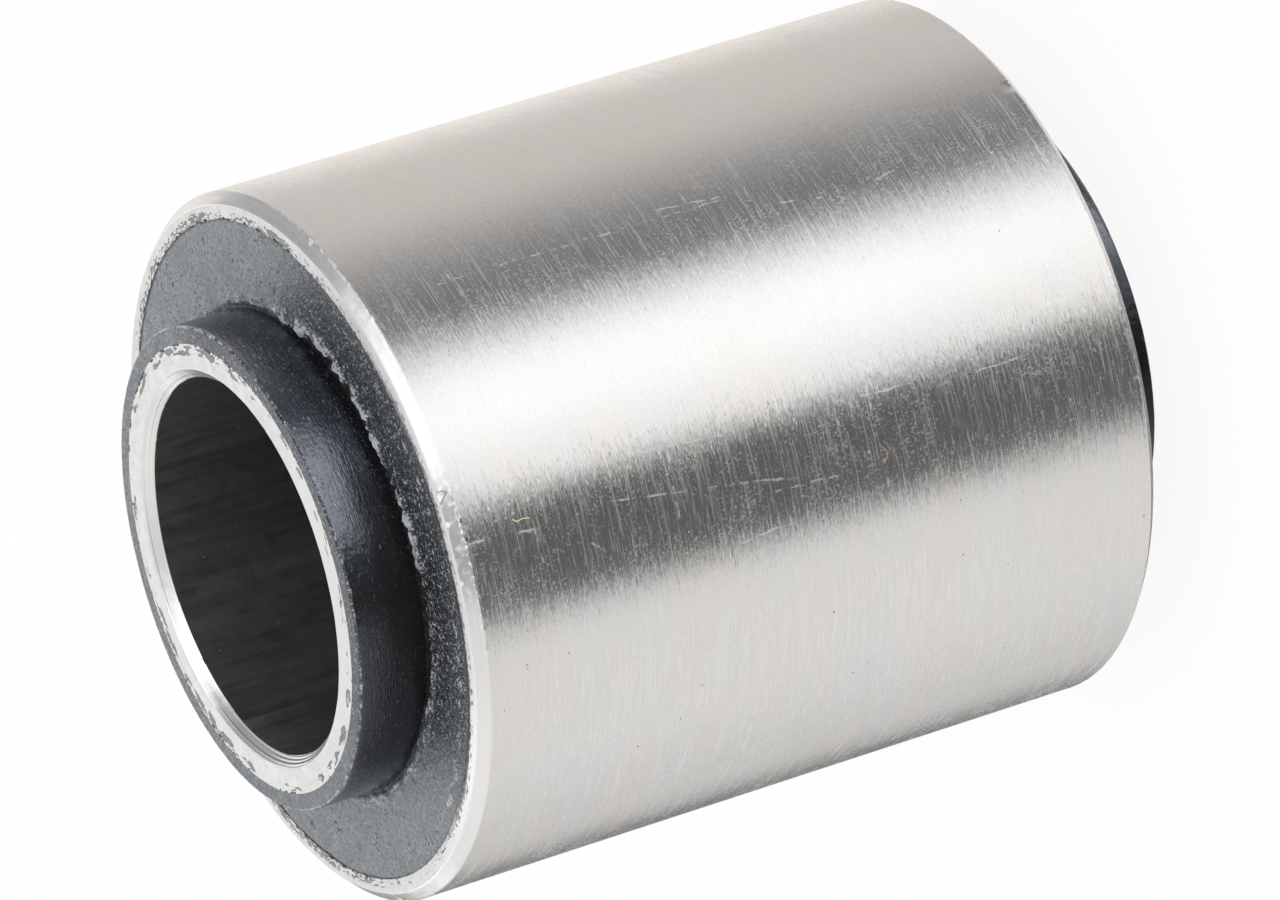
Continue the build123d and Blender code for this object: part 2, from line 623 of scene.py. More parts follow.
def distance_to_line(flat_place, start, end, radius):
    """How far a place on the unrolled sleeve is from a line between two (bearing, height) places."""
    first = Vector((math.radians(start[0]) * radius, start[1], 0))
    along = Vector((math.radians(end[0]) * radius, end[1], 0)) - first
    from_first = flat_place.vector("SUBTRACT", flat_place, first)
    share = flat_place.vector("DOT_PRODUCT", from_first, along / along.length_squared, output="Value")
    share = flat_place.math("ADD", share, 0, clamp=True)
    nearest = flat_place.node("ShaderNodeVectorMath", {"operation": "SCALE"}, {0: tuple(along), 3: share})
    return flat_place.vector("DISTANCE", from_first, nearest, output="Value")


def distance_to_path(flat_place, stops, radius):
    """How far a place is from a bent line through some (bearing, height) stops."""
    return least_of([distance_to_line(flat_place, *pair, radius) for pair in zip(stops, stops[1:])])


def distance_to_dots(flat_place, dots, radius):
    """How far a place is from the nearest of some (bearing, height) dots."""
    centres = [(math.radians(bearing) * radius, height, 0) for bearing, height in dots]
    distances = [flat_place.vector("DISTANCE", flat_place, centre, output="Value") for centre in centres]
    return least_of(distances)


# %% Masks of the marks on the outer sleeve
SIDE_RADIUS = OUTER_RADIUS / MM
PIT_COLOUR = (0.16, 0.15, 0.14, 1)
SPECK_COLOUR = (0.86, 0.87, 0.9, 1)
YELLOW = (0.75, 0.72, 0.45, 1)
RUST = (0.45, 0.20, 0.10, 1)


def scratched(place, flat_place):
    """1 on a scratch. It is wider where it was pressed harder, and gone where it was pressed least."""
    nearest = least_of([distance_to_line(flat_place, *line, SIDE_RADIUS) for line in SCRATCHES])
    pressed = cloud(place, 0.7, seed=47, detail=4)
    widened = nearest - pressed * SCRATCH_WIDENING
    return step(widened, SCRATCH_HALF_WIDTH, 0) * step(pressed, 0.42, 0.60)


def with_marks(colour, flat_place, ragged_place):
    """The colour with its pits, specks and fibres, and how much of the metal the dust hides."""
    pit = step(distance_to_dots(ragged_place, DARK_PITS, SIDE_RADIUS), PIT_RADIUS, PIT_RADIUS / 2)
    speck = step(distance_to_dots(ragged_place, PALE_SPECKS, SIDE_RADIUS), SPECK_RADIUS, SPECK_RADIUS / 2)
    yellow = step(distance_to_path(flat_place, YELLOW_FIBRE, SIDE_RADIUS), FIBRE_HALF_WIDTH, FIBRE_CORE)
    rust = step(distance_to_path(flat_place, RUST_FIBRE, SIDE_RADIUS), FIBRE_HALF_WIDTH, FIBRE_CORE) * 0.8
    colour = blend(pit * 0.75, colour, PIT_COLOUR)
    colour = blend(speck, colour, SPECK_COLOUR)
    colour = blend(yellow, colour, YELLOW)
    colour = blend(rust, colour, RUST)
    return colour, most_of([speck, yellow, rust])


# %% [markdown]
# The turning lines need care. Grooves that are tipped far look furry where a dark band meets a bright one,
# so only the fine speckle is tipped strongly. The lines that the eye picks out are rougher than the steel
# between them: in a dark band a rough line gathers light from the whole room and shows pale, and in a
# bright band it is hardly seen.


# %% Turned side finish
DULL_STEEL = (0.60, 0.598, 0.592, 1)
CLEAN_STEEL = (0.68, 0.678, 0.672, 1)
ROUGH_STEEL = (0.86, 0.858, 0.852, 1)
WARM_OIL = (1.0, 0.985, 0.97, 1)
COOL_OIL = (0.985, 0.99, 0.995, 1)


def groove_tip(grooves, steepest, gentle):
    """How far grooves tip the surface. The cube leaves most of it flat and makes a few walls steep."""
    swing = grooves - 0.5
    return swing * swing * swing * steepest + swing * gentle


def turned_side_finish():
    """Steel that was turned and lightly ground, with the marks of handling."""
    finish, tree = new_material("turned_side")
    place, outward, _, height = measures(tree)
    rolled = wound(outward, SIDE_RADIUS, height)
    speckle = cloud(rolled, (0.24, 0.24, 0.06), seed=3, detail=2)
    short = cloud(rolled, (1.1, 1.1, 0.055), seed=17, detail=1)
    long = cloud(rolled, (4, 4, 0.06), seed=11, detail=1)
    oily = cloud(rolled, (7, 7, 2.5), seed=23, detail=2)
    pocks = cloud(place, 0.11, seed=37, detail=2)
    hazy = cloud(place, 2.2, seed=31, detail=3)

    wobble = place.node("ShaderNodeTexNoise", None, {"Vector": place, "Scale": 1.6, "Detail": 3}, "Color")
    wobble = place.vector("MULTIPLY_ADD", wobble, (0.3, 0.3, 0), (-0.15, -0.15, 0))
    flat_place = place.vector("ADD", unrolled(outward, SIDE_RADIUS, height), wobble)
    ragged_place = place.vector("ADD", flat_place, place.vector("MULTIPLY", wobble, (0.3, 0.3, 0)))
    scratch = scratched(place, flat_place)

    tip = groove_tip(speckle, 3.2, 0.05) + groove_tip(short, 0.9, 0.02) + groove_tip(long, 0.9, 0.01)
    pocked = step(pocks + (hazy - 0.5) * 0.3, 0.56, 0.68)
    rough = most_of([step(short, 0.58, 0.70) * 0.9, step(long, 0.59, 0.70), pocked])
    colour = blend(short * 0.5 + long * 0.5, DULL_STEEL, CLEAN_STEEL)
    colour = blend(rough * 0.5, colour, ROUGH_STEEL)
    tint = blend(step(oily, 0.38, 0.62), WARM_OIL, COOL_OIL)
    tinted = {"data_type": "RGBA", "blend_type": "MULTIPLY"}
    colour = tint.node("ShaderNodeMix", tinted, {0: 1.0, 6: colour, 7: tint}, 2)
    colour = blend(scratch * 0.65, colour, grey(0.9))
    colour, dust = with_marks(colour, flat_place, ragged_place)
    duller = step(height, 16, 3) * 0.05 + step(height, 33, 36) * 0.04 + step(hazy, 0.45, 0.75) * 0.03
    roughness = 0.20 + rough * 0.24 + duller + scratch * 0.35
    normal = sideways(outward, tip)
    finish_shader(
        finish,
        tree,
        {"Anisotropic": 0.8, "Anisotropic Rotation": 0.25},
        {"Base Color": colour, "Metallic": 1 - dust, "Roughness": roughness, "Normal": normal},
    )
    return finish


# %% [markdown]
# ## Outer sleeve, chamfer and end
#
# The lead-in chamfer is cut with a fresh tool and shines. A stretch of it is darker, and a dent has lifted a
# curl of steel and left a creased line, which is painted dark as shade. The end face was cut off and trimmed
# after moulding, so it is dull and pale, and on the near side it is painted lighter as a highlight. Thin
# rags of rubber still stick to it beside the rubber's edge, and on the near side a dark film laps over the
# steel, partly rubber and partly painted shade. Dents and the burr on the corner are real shape. The rags
# and the film are thinner than paper, so they are only colour and gloss.

# %% Chamfer finish
CUT_STEEL = (0.61, 0.608, 0.603, 1)
BRIGHT_CUT_STEEL = (0.77, 0.768, 0.763, 1)
NEAR_STRETCH_STEEL = (0.27, 0.27, 0.28, 1)
# Places are (bearing, height).
CREASE = ((-2.4, 37.0), (-2.2, 36.75), (-1.9, 36.64), (-1.2, 36.76), (-0.1, 36.98))
CURLS = ((-1.4, 36.92), (-0.9, 36.98), (3.0, 36.93), (12.5, 36.97), (-51.0, 36.6))


# The burr on the corner shines in a strip this far inside the outer radius, in mm.
BURR_STRIP = (0.11, 0.06)


def chamfer_finish():
    """Bright cut steel, darker on one stretch, with the creased line of a dent painted dark as shade, and
    the curls of the dent.
    """
    finish, tree = new_material("cut_chamfer")
    place, outward, radius, height = measures(tree)
    rolled = wound(outward, SIDE_RADIUS, radius)
    rings = cloud(rolled, (9, 9, 0.06), seed=5, detail=1)
    worn = cloud(place, 0.35, seed=9, detail=3)
    colour = blend(rings, CUT_STEEL, BRIGHT_CUT_STEEL)
    tip = (cloud(rolled, (1.0, 1.0, 0.2), seed=13, detail=2) - 0.5) * 0.14

    flat_place = unrolled(outward, SIDE_RADIUS, height)
    bearing = bearing_wire(outward)
    # A stretch round bearings 0 to 14 is darker.
    darkened = window(bearing, -3, 8, 14, 10) * step(worn, 0.30, 0.50)
    crease_shade = step(distance_to_path(flat_place, CREASE, SIDE_RADIUS), 0.035, 0.015)
    curl = step(distance_to_dots(flat_place, CURLS, SIDE_RADIUS), 0.15, 0.09)
    corner = step(radius, SIDE_RADIUS - BURR_STRIP[0], SIDE_RADIUS - BURR_STRIP[1])
    uneven = cloud(place, 0.2, seed=25, detail=2)
    burred = corner * step(uneven, 0.50, 0.58) * window(bearing, -62, 12, 22, 12)
    bright = most_of([burred, curl])
    colour = blend(darkened * 0.7, colour, NEAR_STRETCH_STEEL)
    colour = blend(bright, colour, grey(0.92))
    # Painted shade along the dent's creased line.
    colour = blend(crease_shade * 0.8, colour, grey(0.16))
    roughness = 0.22 + worn * 0.16 + bright * 0.35
    finish_shader(
        finish,
        tree,
        {"Metallic": 1, "Anisotropic": 0.6, "Anisotropic Rotation": 0.25},
        {"Base Color": colour, "Roughness": roughness, "Normal": sideways(outward, tip)},
    )
    return finish


# %% Trimmed end finish
RAG_COLOUR = (0.19, 0.192, 0.188, 1)


def trimmed_end_finish(
    name, seed, rubber_edge, rag_size, rag_reach, clean_edge, level, near_highlight_level, lap_and_shade_share
):
    """A dull steel end with rags of rubber that start at the rubber's edge. Lengths are in mm.

    The rags are rag_size long and reach over the steel by rag_reach, after a strip that stays clean. On the
    near side the steel is painted lighter, as a highlight, to a grey level of its own, and a dark film laps
    over its edge by the lap's share, partly rubber and partly painted shade.
    """
    finish, tree = new_material(name)
    place, outward, radius, _ = measures(tree)
    rolled = wound(outward, rubber_edge, radius)
    from_rubber = tree.math("ABSOLUTE", radius - rubber_edge)
    rings = cloud(rolled, (14, 14, 0.10), seed=seed + 3, detail=2)
    blotches = cloud(place, 0.5, seed=seed + 7, detail=3)
    patches = cloud(place, 2.6, seed=seed + 13, detail=1)

    bearing = bearing_wire(outward)
    near_side = window(bearing, -20, 36, 60, 40)
    worst_side = window(bearing, -135, 50, -45, 40) + window(bearing, 105, 40, 172, 16) * 0.9
    worst_side = worst_side - window(bearing, 10, 20, 85, 20) * 0.4

    rag_noise = cloud(rolled, (rag_size, rag_size, rag_size * 0.35), seed=seed, detail=4)
    reach = window(from_rubber, clean_edge, 0.05, rag_reach, rag_reach * 0.7)
    rag_level = rag_noise + (reach - 1) * 0.4 + (patches - 0.5) * 0.50 + worst_side * 0.05
    rag = step(rag_level, 0.58, 0.62)
    outline = window(rag_level, 0.56, 0.02, 0.60, 0.02)
    flecks = cloud(place, 0.32, seed=seed + 17, detail=2)
    chips = step(flecks + worst_side * 0.10 - step(from_rubber, 0.02, 0.22) * 0.35, 0.60, 0.63)
    # A dark film on the near side: partly rubber lapping over the edge, partly painted shade at the seam.
    rubber_lap_and_shade = step(from_rubber + (rag_noise - 0.5) * 0.5, 0.20, 0.12) * near_side * lap_and_shade_share

    steel = blend(rings, grey(level * 0.80), grey(level * 1.08))
    steel = blend(step(blotches, 0.35, 0.7), steel, (level * 1.12, level * 1.11, level * 1.09, 1))
    # Painted highlight: the steel is painted lighter on the near side.
    steel = blend(near_side * 0.7, steel, grey(near_highlight_level))
    colour = blend(rag, steel, RAG_COLOUR)
    height_map = blotches * 0.5 + rings * 0.3 + rag * 0.8
    bump = tree.node("ShaderNodeBump", None, {"Strength": 1, "Distance": 0.008 * MM, "Height": height_map})
    roughness = 0.36 + blotches * 0.16 + rag * 0.08
    finish_shader(
        finish,
        tree,
        {},
        {"Base Color": colour, "Metallic": 1 - rag * 0.9, "Roughness": roughness, "Normal": bump},
        most_of([outline * 0.75, chips * 0.9, rubber_lap_and_shade]),
    )
    return finish


# %% Shape of the outer sleeve
OUTER_STEPS = 1200
EDGE_BREAK = 0.03 * MM
# How far the end falls off at the chamfer on the near side, and how high the burr on the corner can be.
END_FALL = 0.06 * MM
BURR_HEIGHT = 0.05 * MM
# Rings beside each chamfer, this many chamfers from the end, so that a dent in the corner doesn't bend
# the whole side.
BESIDE_CHAMFER = (1.15, 1.6, 2.4)
NICKS = (
    # bearing, height, radius of the dent, depth, all but the bearing in mm
    (-1.5, 37.0, 0.42, 0.06),
    (6.5, 36.7, 0.30, 0.06),
    (-51.0, 36.6, 0.25, 0.04),
    (-39.5, 3.6, 0.35, 0.07),
    (13.5, 3.7, 0.30, 0.05),
    (95.0, 36.5, 0.50, 0.10),
    (-150.0, 3.6, 0.60, 0.12),
)


def nicked(point):
    """How deep the nicks cut at a point."""
    depth = 0.0
    for bearing_at, height_at, size, deepest in NICKS:
        turn = math.radians(bearing_at)
        centre = Vector((-math.sin(turn) * OUTER_RADIUS, -math.cos(turn) * OUTER_RADIUS, height_at * MM))
        away = (point - centre).length / (size * MM)
        if away < 1:
            depth = max(depth, deepest * MM * (1 - away * away))
    return depth


def outer_shape(point, radius, bearing):
    """Edges that waver, a burr on the outer corner, and an end that falls off outwards on the near side."""
    from_end = min(point.z - SLEEVE_BOTTOM, SLEEVE_TOP - point.z)
    if from_end > 1.2 * OUTER_CHAMFER or radius < RUBBER_RADIUS + 0.01 * MM:
        return radius, point.z
    corner = abs(from_end - OUTER_CHAMFER) < 2 * EDGE_BREAK and radius > OUTER_RADIUS - 2 * EDGE_BREAK
    waver = ripple(point, 2.5 * MM) * 0.012 * MM + ripple(point, 0.35 * MM, seed=7) * 0.006 * MM
    burr = max(0.0, ripple(point, 0.22 * MM, seed=19) - 0.25) * BURR_HEIGHT if corner else 0.0
    side = 1 if point.z > MIDDLE else -1
    ring_width = OUTER_RADIUS - OUTER_CHAMFER - RUBBER_RADIUS
    share = min((radius - RUBBER_RADIUS) / ring_width, (OUTER_RADIUS - radius) / OUTER_CHAMFER)
    fall = END_FALL * around(bearing, 5, 50, 25) * max(0.0, share)
    new_height = point.z + side * (waver * (radius < OUTER_RADIUS - EDGE_BREAK) - fall)
    return radius + waver * 0.5 * corner + burr - nicked(point), new_height


# %% Outer sleeve
def outer_finish_of(face):
    """The side stands upright, the ends lie flat and the chamfers are between."""
    if abs(face.normal.z) < 0.3:
        return "side"
    return "chamfer" if abs(face.normal.z) < 0.93 else "end"


outer_ring = spun_ring(
    [
        (RUBBER_RADIUS, SLEEVE_BOTTOM, 0, 4),
        (OUTER_RADIUS - OUTER_CHAMFER, SLEEVE_BOTTOM, EDGE_BREAK, 5),
        (OUTER_RADIUS, SLEEVE_BOTTOM + OUTER_CHAMFER, EDGE_BREAK, 0),
        *[(OUTER_RADIUS, SLEEVE_BOTTOM + share * OUTER_CHAMFER, 0, 0) for share in BESIDE_CHAMFER],
        *[(OUTER_RADIUS, SLEEVE_TOP - share * OUTER_CHAMFER, 0, 0) for share in reversed(BESIDE_CHAMFER)],
        (OUTER_RADIUS, SLEEVE_TOP - OUTER_CHAMFER, EDGE_BREAK, 5),
        (OUTER_RADIUS - OUTER_CHAMFER, SLEEVE_TOP, EDGE_BREAK, 4),
        (RUBBER_RADIUS, SLEEVE_TOP, 0, 0),
    ],
    OUTER_STEPS,
)
sculpt(outer_ring, outer_shape)
outer_finishes = {
    "side": turned_side_finish(),
    "chamfer": chamfer_finish(),
    "end": trimmed_end_finish(
        "trimmed_outer_end",
        seed=2,
        rubber_edge=RUBBER_RADIUS / MM,
        rag_size=0.30,
        rag_reach=0.45,
        clean_edge=0.0,
        level=0.50,
        # The near side of the end is painted lighter, as a highlight.
        near_highlight_level=0.78,
        lap_and_shade_share=0.9,
    ),
}
finished_piece(
    "outer_sleeve_turned", outer_ring, outer_finishes, outer_finish_of, "outer_sleeve"
)

# %% [markdown]
# ## Rubber
#
# The rubber is cured in a mould with both sleeves in place. The mould parts at the foot of the collar,
# so there the rubber is ragged: a crumbly ridge of flash stands round the near side of the foot, and the
# groove inside it wanders and is torn here and there. The face is slightly grainy from the mould, with
# pits where air was trapped. This is real shape, so it is modelled: the noise moves the points, and the
# same numbers are kept as attributes that tell the finish where the rubber is scuffed pale. A bump map
# could fake the grain, but not a ridge that hides what lies behind it.

# %% Groove round the collar's foot
RUBBER_STEPS = 900
COLLAR_RIM_RADIUS = 0.15 * MM
GROOVE_DEPTH = 0.2 * MM
RIDGE_HEIGHT = 0.2 * MM
FACE_WAVE = 0.02 * MM
FOOT_END = COLLAR_RADIUS + 1.9 * MM
EDGE_DIP_START = RUBBER_RADIUS - 0.25 * MM
# The lower face reads its noise this much further down, so that the two ends differ.
LOWER_NOISE_SHIFT = 0.05


def noise_place(point, height):
    """Where the noise of a face is read."""
    return Vector((point.x, point.y, height + (0 if point.z > MIDDLE else LOWER_NOISE_SHIFT)))


def groove_width(point, bearing):
    """How wide the groove is. It is widest on the near side, where the mould was worn."""
    width = 0.22 + 0.60 * around(bearing, -3, 46, 10) - 0.28 * around(bearing, -18, 6, 8)
    torn = ripple(point, 0.9 * MM, seed=3) * 0.12 + ripple(point, 0.22 * MM, seed=5) * 0.12
    return max(0.06, width + torn) * MM


# %% Ridge, waves and pits of the rubber's face
PIT_DEPTH = 0.05 * MM
EDGE_DIP_DEPTH = 0.05 * MM
# The crumbs are drawn out round the axis: this wide across, and about this many to a radian.
CRUMB_WIDTH = 0.17 * MM
CRUMBS_PER_RADIAN = 20


def bump_at(radius, middle, half_width):
    """A round bump across the face: 1 at its middle, and nearly 0 two half widths away."""
    away = (radius - middle) / half_width
    return math.exp(-away * away)


def rubber_height(point, radius, bearing):
    """How far the face stands above the plain one at a point, how scuffed it is, and how much shade is
    painted there.
    """
    width = groove_width(Vector((point.x, point.y, 0)) * COLLAR_RADIUS / radius, bearing)
    groove_edge = COLLAR_RADIUS + width
    in_groove = 1 - smooth(radius, groove_edge - 0.10 * MM, groove_edge + 0.08 * MM)
    deep = in_groove * max(around(bearing, -3, 56, 14), 0.45)

    east, north = point.x / radius * CRUMBS_PER_RADIAN, point.y / radius * CRUMBS_PER_RADIAN
    drawn_out = noise.noise(Vector((east, north, radius / CRUMB_WIDTH)))
    crumbs = 0.45 + 0.9 * ripple(point, 1.1 * MM, seed=9) + 0.6 * ripple(point, 0.3 * MM, seed=13)
    crumbs += 0.8 * drawn_out
    ridge_share = max(around(bearing, -26, 38, 12) * 1.15, 0.4)
    ridge = ridge_share * min(1.2, max(0.0, crumbs)) * bump_at(radius, groove_edge + 0.20 * MM, 0.36 * MM)

    wave = ripple(point, 3 * MM, seed=21) * 0.8 + ripple(point, 0.8 * MM, seed=27) * 0.4
    pit = smooth(ripple(point, 0.8 * MM, seed=41), 0.60, 0.72) * (1 - in_groove)
    unevenly = 0.8 + 0.6 * ripple(point, 0.9 * MM, seed=45)
    edge_dip = smooth(radius, EDGE_DIP_START, RUBBER_RADIUS) * unevenly
    height = ridge * RIDGE_HEIGHT - deep * GROOVE_DEPTH + wave * FACE_WAVE
    height -= pit * PIT_DEPTH + edge_dip * EDGE_DIP_DEPTH

    # Painted shade: dark in the groove and along the seam with the steel.
    at_seam = smooth(radius, RUBBER_RADIUS - 0.12 * MM, RUBBER_RADIUS)
    seam_shade = at_seam * (0.45 + 0.8 * ripple(point, 0.6 * MM, seed=63))
    rubbed_band = 0.7 * around(bearing, 14, 50, 12) * bump_at(radius, RUBBER_RADIUS - 0.6 * MM, 0.3 * MM)
    rubbed = rubbed_band * (0.25 + 0.7 * ripple(point, 0.6 * MM, seed=71) + 0.6 * drawn_out)
    return height, max(ridge, rubbed), max(deep, seam_shade, 0.0)


# %% Shape of the rubber
# On the near side the collar leans inwards over the last stretch below its rim.
LEAN_LENGTH = 1.8 * MM
LEAN = 0.09 * MM


def from_tube_end(point):
    """How far a point is from the nearer end of the inner sleeve, along the axis."""
    return min(abs(point.z - TUBE_TOP), abs(point.z - TUBE_BOTTOM))


def rubber_shape(point, radius, bearing):
    """Only what shows is moved: the two faces, and the collar's side and rim."""
    upper = point.z > MIDDLE
    face = SLEEVE_TOP if upper else SLEEVE_BOTTOM
    side = 1 if upper else -1
    if abs(point.z - face) < TOUCHING and radius < RUBBER_RADIUS + TOUCHING:
        lift, _, _ = rubber_height(noise_place(point, face), radius, bearing)
        return radius, face + side * lift
    if radius > INNER_RADIUS + TOUCHING and abs(point.z - MIDDLE) > SLEEVE_TOP - MIDDLE:
        dent = (ripple(point, 1.2 * MM, seed=51) * 0.012 + ripple(point, 0.3 * MM, seed=57) * 0.008) * MM
        on_side = radius > COLLAR_RADIUS - COLLAR_RIM_RADIUS
        lean = max(0.0, 1 - from_tube_end(point) / LEAN_LENGTH) * on_side * around(bearing, -24, 22, 14)
        return radius + dent - lean * lean * LEAN, point.z + side * min(0.0, dent) * 0.6
    return radius, point.z


# %% Rubber ring
rubber_ring = spun_ring(
    [
        (INNER_RADIUS, TUBE_BOTTOM, 0, 4),
        (COLLAR_RADIUS, TUBE_BOTTOM, COLLAR_RIM_RADIUS, 7),
        (COLLAR_RADIUS, SLEEVE_BOTTOM, 0, 16),
        (FOOT_END, SLEEVE_BOTTOM, 0, 7),
        (EDGE_DIP_START, SLEEVE_BOTTOM, 0, 3),
        (RUBBER_RADIUS, SLEEVE_BOTTOM, 0, 0),
        (RUBBER_RADIUS, SLEEVE_TOP, 0, 4),
        (EDGE_DIP_START, SLEEVE_TOP, 0, 12),
        (FOOT_END, SLEEVE_TOP, 0, 26),
        (COLLAR_RADIUS, SLEEVE_TOP, 0, 10),
        (COLLAR_RADIUS, TUBE_TOP, COLLAR_RIM_RADIUS, 4),
        (INNER_RADIUS, TUBE_TOP, 0, 0),
    ],
    RUBBER_STEPS,
)
print("rubber ring has", len(rubber_ring.verts), "points")

# %% [markdown]
# Three attributes go with the points: where the rubber is scuffed pale, where shade is painted dark in the
# groove and along the seam, and where dust lies on it, which is also where shade is painted on the near
# side.
# They are worked out before the points are moved, because they are read off the same noise as the shape,
# and an attribute is the simplest way to carry a number from a mesh to a finish.

# %% Where the rubber is scuffed, where shade is painted, and where it is dusty
RIM_PALE_REACH = 0.14 * MM

scuff_layer = rubber_ring.verts.layers.float.new("scuff")
groove_and_seam_shade_layer = rubber_ring.verts.layers.float.new("groove_and_seam_shade")
dust_and_shade_layer = rubber_ring.verts.layers.float.new("dust")
for vertex in rubber_ring.verts:
    radius = math.hypot(vertex.co.x, vertex.co.y)
    bearing = bearing_of(vertex.co)
    on_face = abs(vertex.co.z - SLEEVE_TOP) < TOUCHING or abs(vertex.co.z - SLEEVE_BOTTOM) < TOUCHING
    if on_face:
        _, scuff, groove_and_seam_shade = rubber_height(noise_place(vertex.co, vertex.co.z), radius, bearing)
        vertex[scuff_layer] = min(1.0, scuff)
        vertex[groove_and_seam_shade_layer] = groove_and_seam_shade
    # The collar's rim is paler, most of all near bearings -105 and 88.
    near_rim = max(0.0, 1 - math.hypot(radius - COLLAR_RADIUS, from_tube_end(vertex.co)) / RIM_PALE_REACH)
    rim_paleness = 0.5 + 0.4 * around(bearing, -105, 50, 12) + 0.4 * around(bearing, 88, 26, 8)
    vertex[scuff_layer] += rim_paleness * near_rim * (1 + ripple(vertex.co, 0.5 * MM, seed=61))
    on_end = from_tube_end(vertex.co) < COLLAR_RIM_RADIUS
    # More dust on the near side, where the bloom is also taken away as painted shade.
    vertex[dust_and_shade_layer] = around(bearing, -14, 66, 10) if on_end else around(bearing, -2, 55, 12)
sculpt(rubber_ring, rubber_shape)
scuffed_points = sum(vertex[scuff_layer] > 0.5 for vertex in rubber_ring.verts)
print("scuffed points:", scuffed_points, "of", len(rubber_ring.verts))

# %% [markdown]
# Black rubber is hardly black. Carbon makes it dark, but a bloom of wax comes up on faces that lie open,
# and turns them slate grey, while the side of the collar is rubbed dark and glossy by its mould. Crumbs
# and dust lie on both. The face has a strong fine grain, so the light of the room spreads over it. Shade is
# painted too: black in the groove, along the seam and on the near stretch of the collar's side, and the
# bloom is taken away on the near side of the face and of the collar's end. One function makes all three
# finishes, because they are one rubber that was treated in three ways.


# %% Rubber finish
BARE_RUBBER = (0.003, 0.004, 0.0065, 1)
BLOOMED_RUBBER = (0.52, 0.575, 0.615, 1)
CRUMB_COLOUR = (0.50, 0.51, 0.53, 1)
SCUFF_COLOUR = (0.50, 0.515, 0.54, 1)
SHEEN = {"Specular IOR Level": 0.75, "Specular Tint": (0.80, 0.90, 1.0, 1)}
# Heights in mm: where it begins, and where it shows in full. The foot of the upper collar is painted
# black as shade, and the lower collar has more bloom.
SHADED_UPPER_FOOT = (SLEEVE_TOP / MM + 2.0, SLEEVE_TOP / MM + 0.9)
LOWER_COLLAR = (SLEEVE_BOTTOM / MM - 0.05, SLEEVE_BOTTOM / MM - 0.4)


def attribute(tree, name):
    """A number that the mesh carries at its points."""
    return tree.node("ShaderNodeAttribute", {"attribute_name": name}, None, "Fac")


def rubber_finish(
    name,
    bloom,
    smoothest,
    grain_size,
    grain_depth,
    crumb_share,
    porous=0,
    dusty=0,
    painted_shade_share=0,
    sheen=SHEEN,
):
    """Rubber with this much bloom and this roughness where it is smoothest.

    The grain is (round, round, along) and deep in mm. Porous says how black the pores are, dusty adds
    crumbs or takes them away, and the share of painted shade says how much of the collar's side is painted
    black as shade on its near stretch and at the foot of the upper collar.
    """
    finish, tree = new_material(name)
    place, outward, radius, height = measures(tree)
    grain = cloud(wound(outward, 11, height + radius), grain_size, seed=3, detail=2)
    coarse = cloud(place, 0.18, seed=7, detail=3)
    mottled = cloud(place, 1.3, seed=11, detail=4)
    near = attribute(tree, "dust")
    scuff = attribute(tree, "scuff")
    # Painted shade in the groove and along the seam.
    groove_and_seam_shade = attribute(tree, "groove_and_seam_shade")

    large_bits = cloud(place, 0.22, seed=17, detail=3) + (mottled - 0.5) * 0.20
    small_bits = cloud(place, 0.08, seed=19, detail=2) + (coarse - 0.5) * 0.50
    large = step(large_bits + near * 0.04 + dusty, 0.66, 0.74)
    small = step(small_bits + near * 0.03 + dusty, 0.60, 0.72)
    pores = step(cloud(place, 0.15, seed=29, detail=2) + (mottled - 0.5) * 0.5, 0.65, 0.72)
    crumbs = most_of([large, small * 0.8])
    scuffed = step(scuff * 1.15 + (grain - 0.5) * 1.8 + (coarse - 0.5) * 0.9, 0.25, 0.70)

    patchy = step(coarse * 0.65 + mottled * 0.35, 0.32, 0.68)
    bearing = bearing_wire(outward)
    # The bloom is weaker between bearings 40 and 130.
    bloom_by_bearing = 1.06 - window(bearing, 40, 40, 130, 40) * 0.16
    # Painted shade: the bloom is taken away in the groove, at the seam and on the near side.
    level = bloom * (0.8 * grain + 1.2 * patchy) * (1 - groove_and_seam_shade * 0.9) * (1 - near * 0.95) * bloom_by_bearing
    level = level + step(height, *LOWER_COLLAR) * 0.06
    colour = blend(level, BARE_RUBBER, BLOOMED_RUBBER)
    colour = blend(crumbs * crumb_share, colour, CRUMB_COLOUR)
    colour = blend(scuffed * 0.85, colour, SCUFF_COLOUR)

    # Painted shade: the collar's side is painted black on a stretch of its near side and at the foot of the
    # upper collar.
    darkened = window(bearing, 10, 14, 66, 20) * painted_shade_share
    foot = window(bearing, -12, 14, 32, 16) * step(height, *SHADED_UPPER_FOOT) * painted_shade_share
    darkened = darkened + foot * (1 - darkened)
    relief = grain * 0.6 + coarse * 0.7 + crumbs * 0.5 - pores * 0.6
    bump = tree.node("ShaderNodeBump", None, {"Strength": 1, "Distance": grain_depth * MM, "Height": relief})
    roughness = smoothest + 0.12 * coarse + crumbs * 0.2
    finish_shader(
        finish,
        tree,
        sheen,
        {"Base Color": colour, "Roughness": roughness, "Normal": bump},
        most_of([groove_and_seam_shade * 0.8, pores * porous, darkened]),
    )
    return finish


# %% Rubber body
def rubber_finish_of(face):
    """The collar's side, its end with the rounded rim, or the face between the sleeves."""
    middle = face.calc_center_median()
    radius = math.hypot(middle.x, middle.y)
    if radius < COLLAR_RADIUS + 0.03 * MM and abs(face.normal.z) < 0.5:
        return "collar side"
    end = abs(middle.z - MIDDLE) > (TUBE_TOP - MIDDLE) - COLLAR_RIM_RADIUS
    return "collar end" if end else "face"


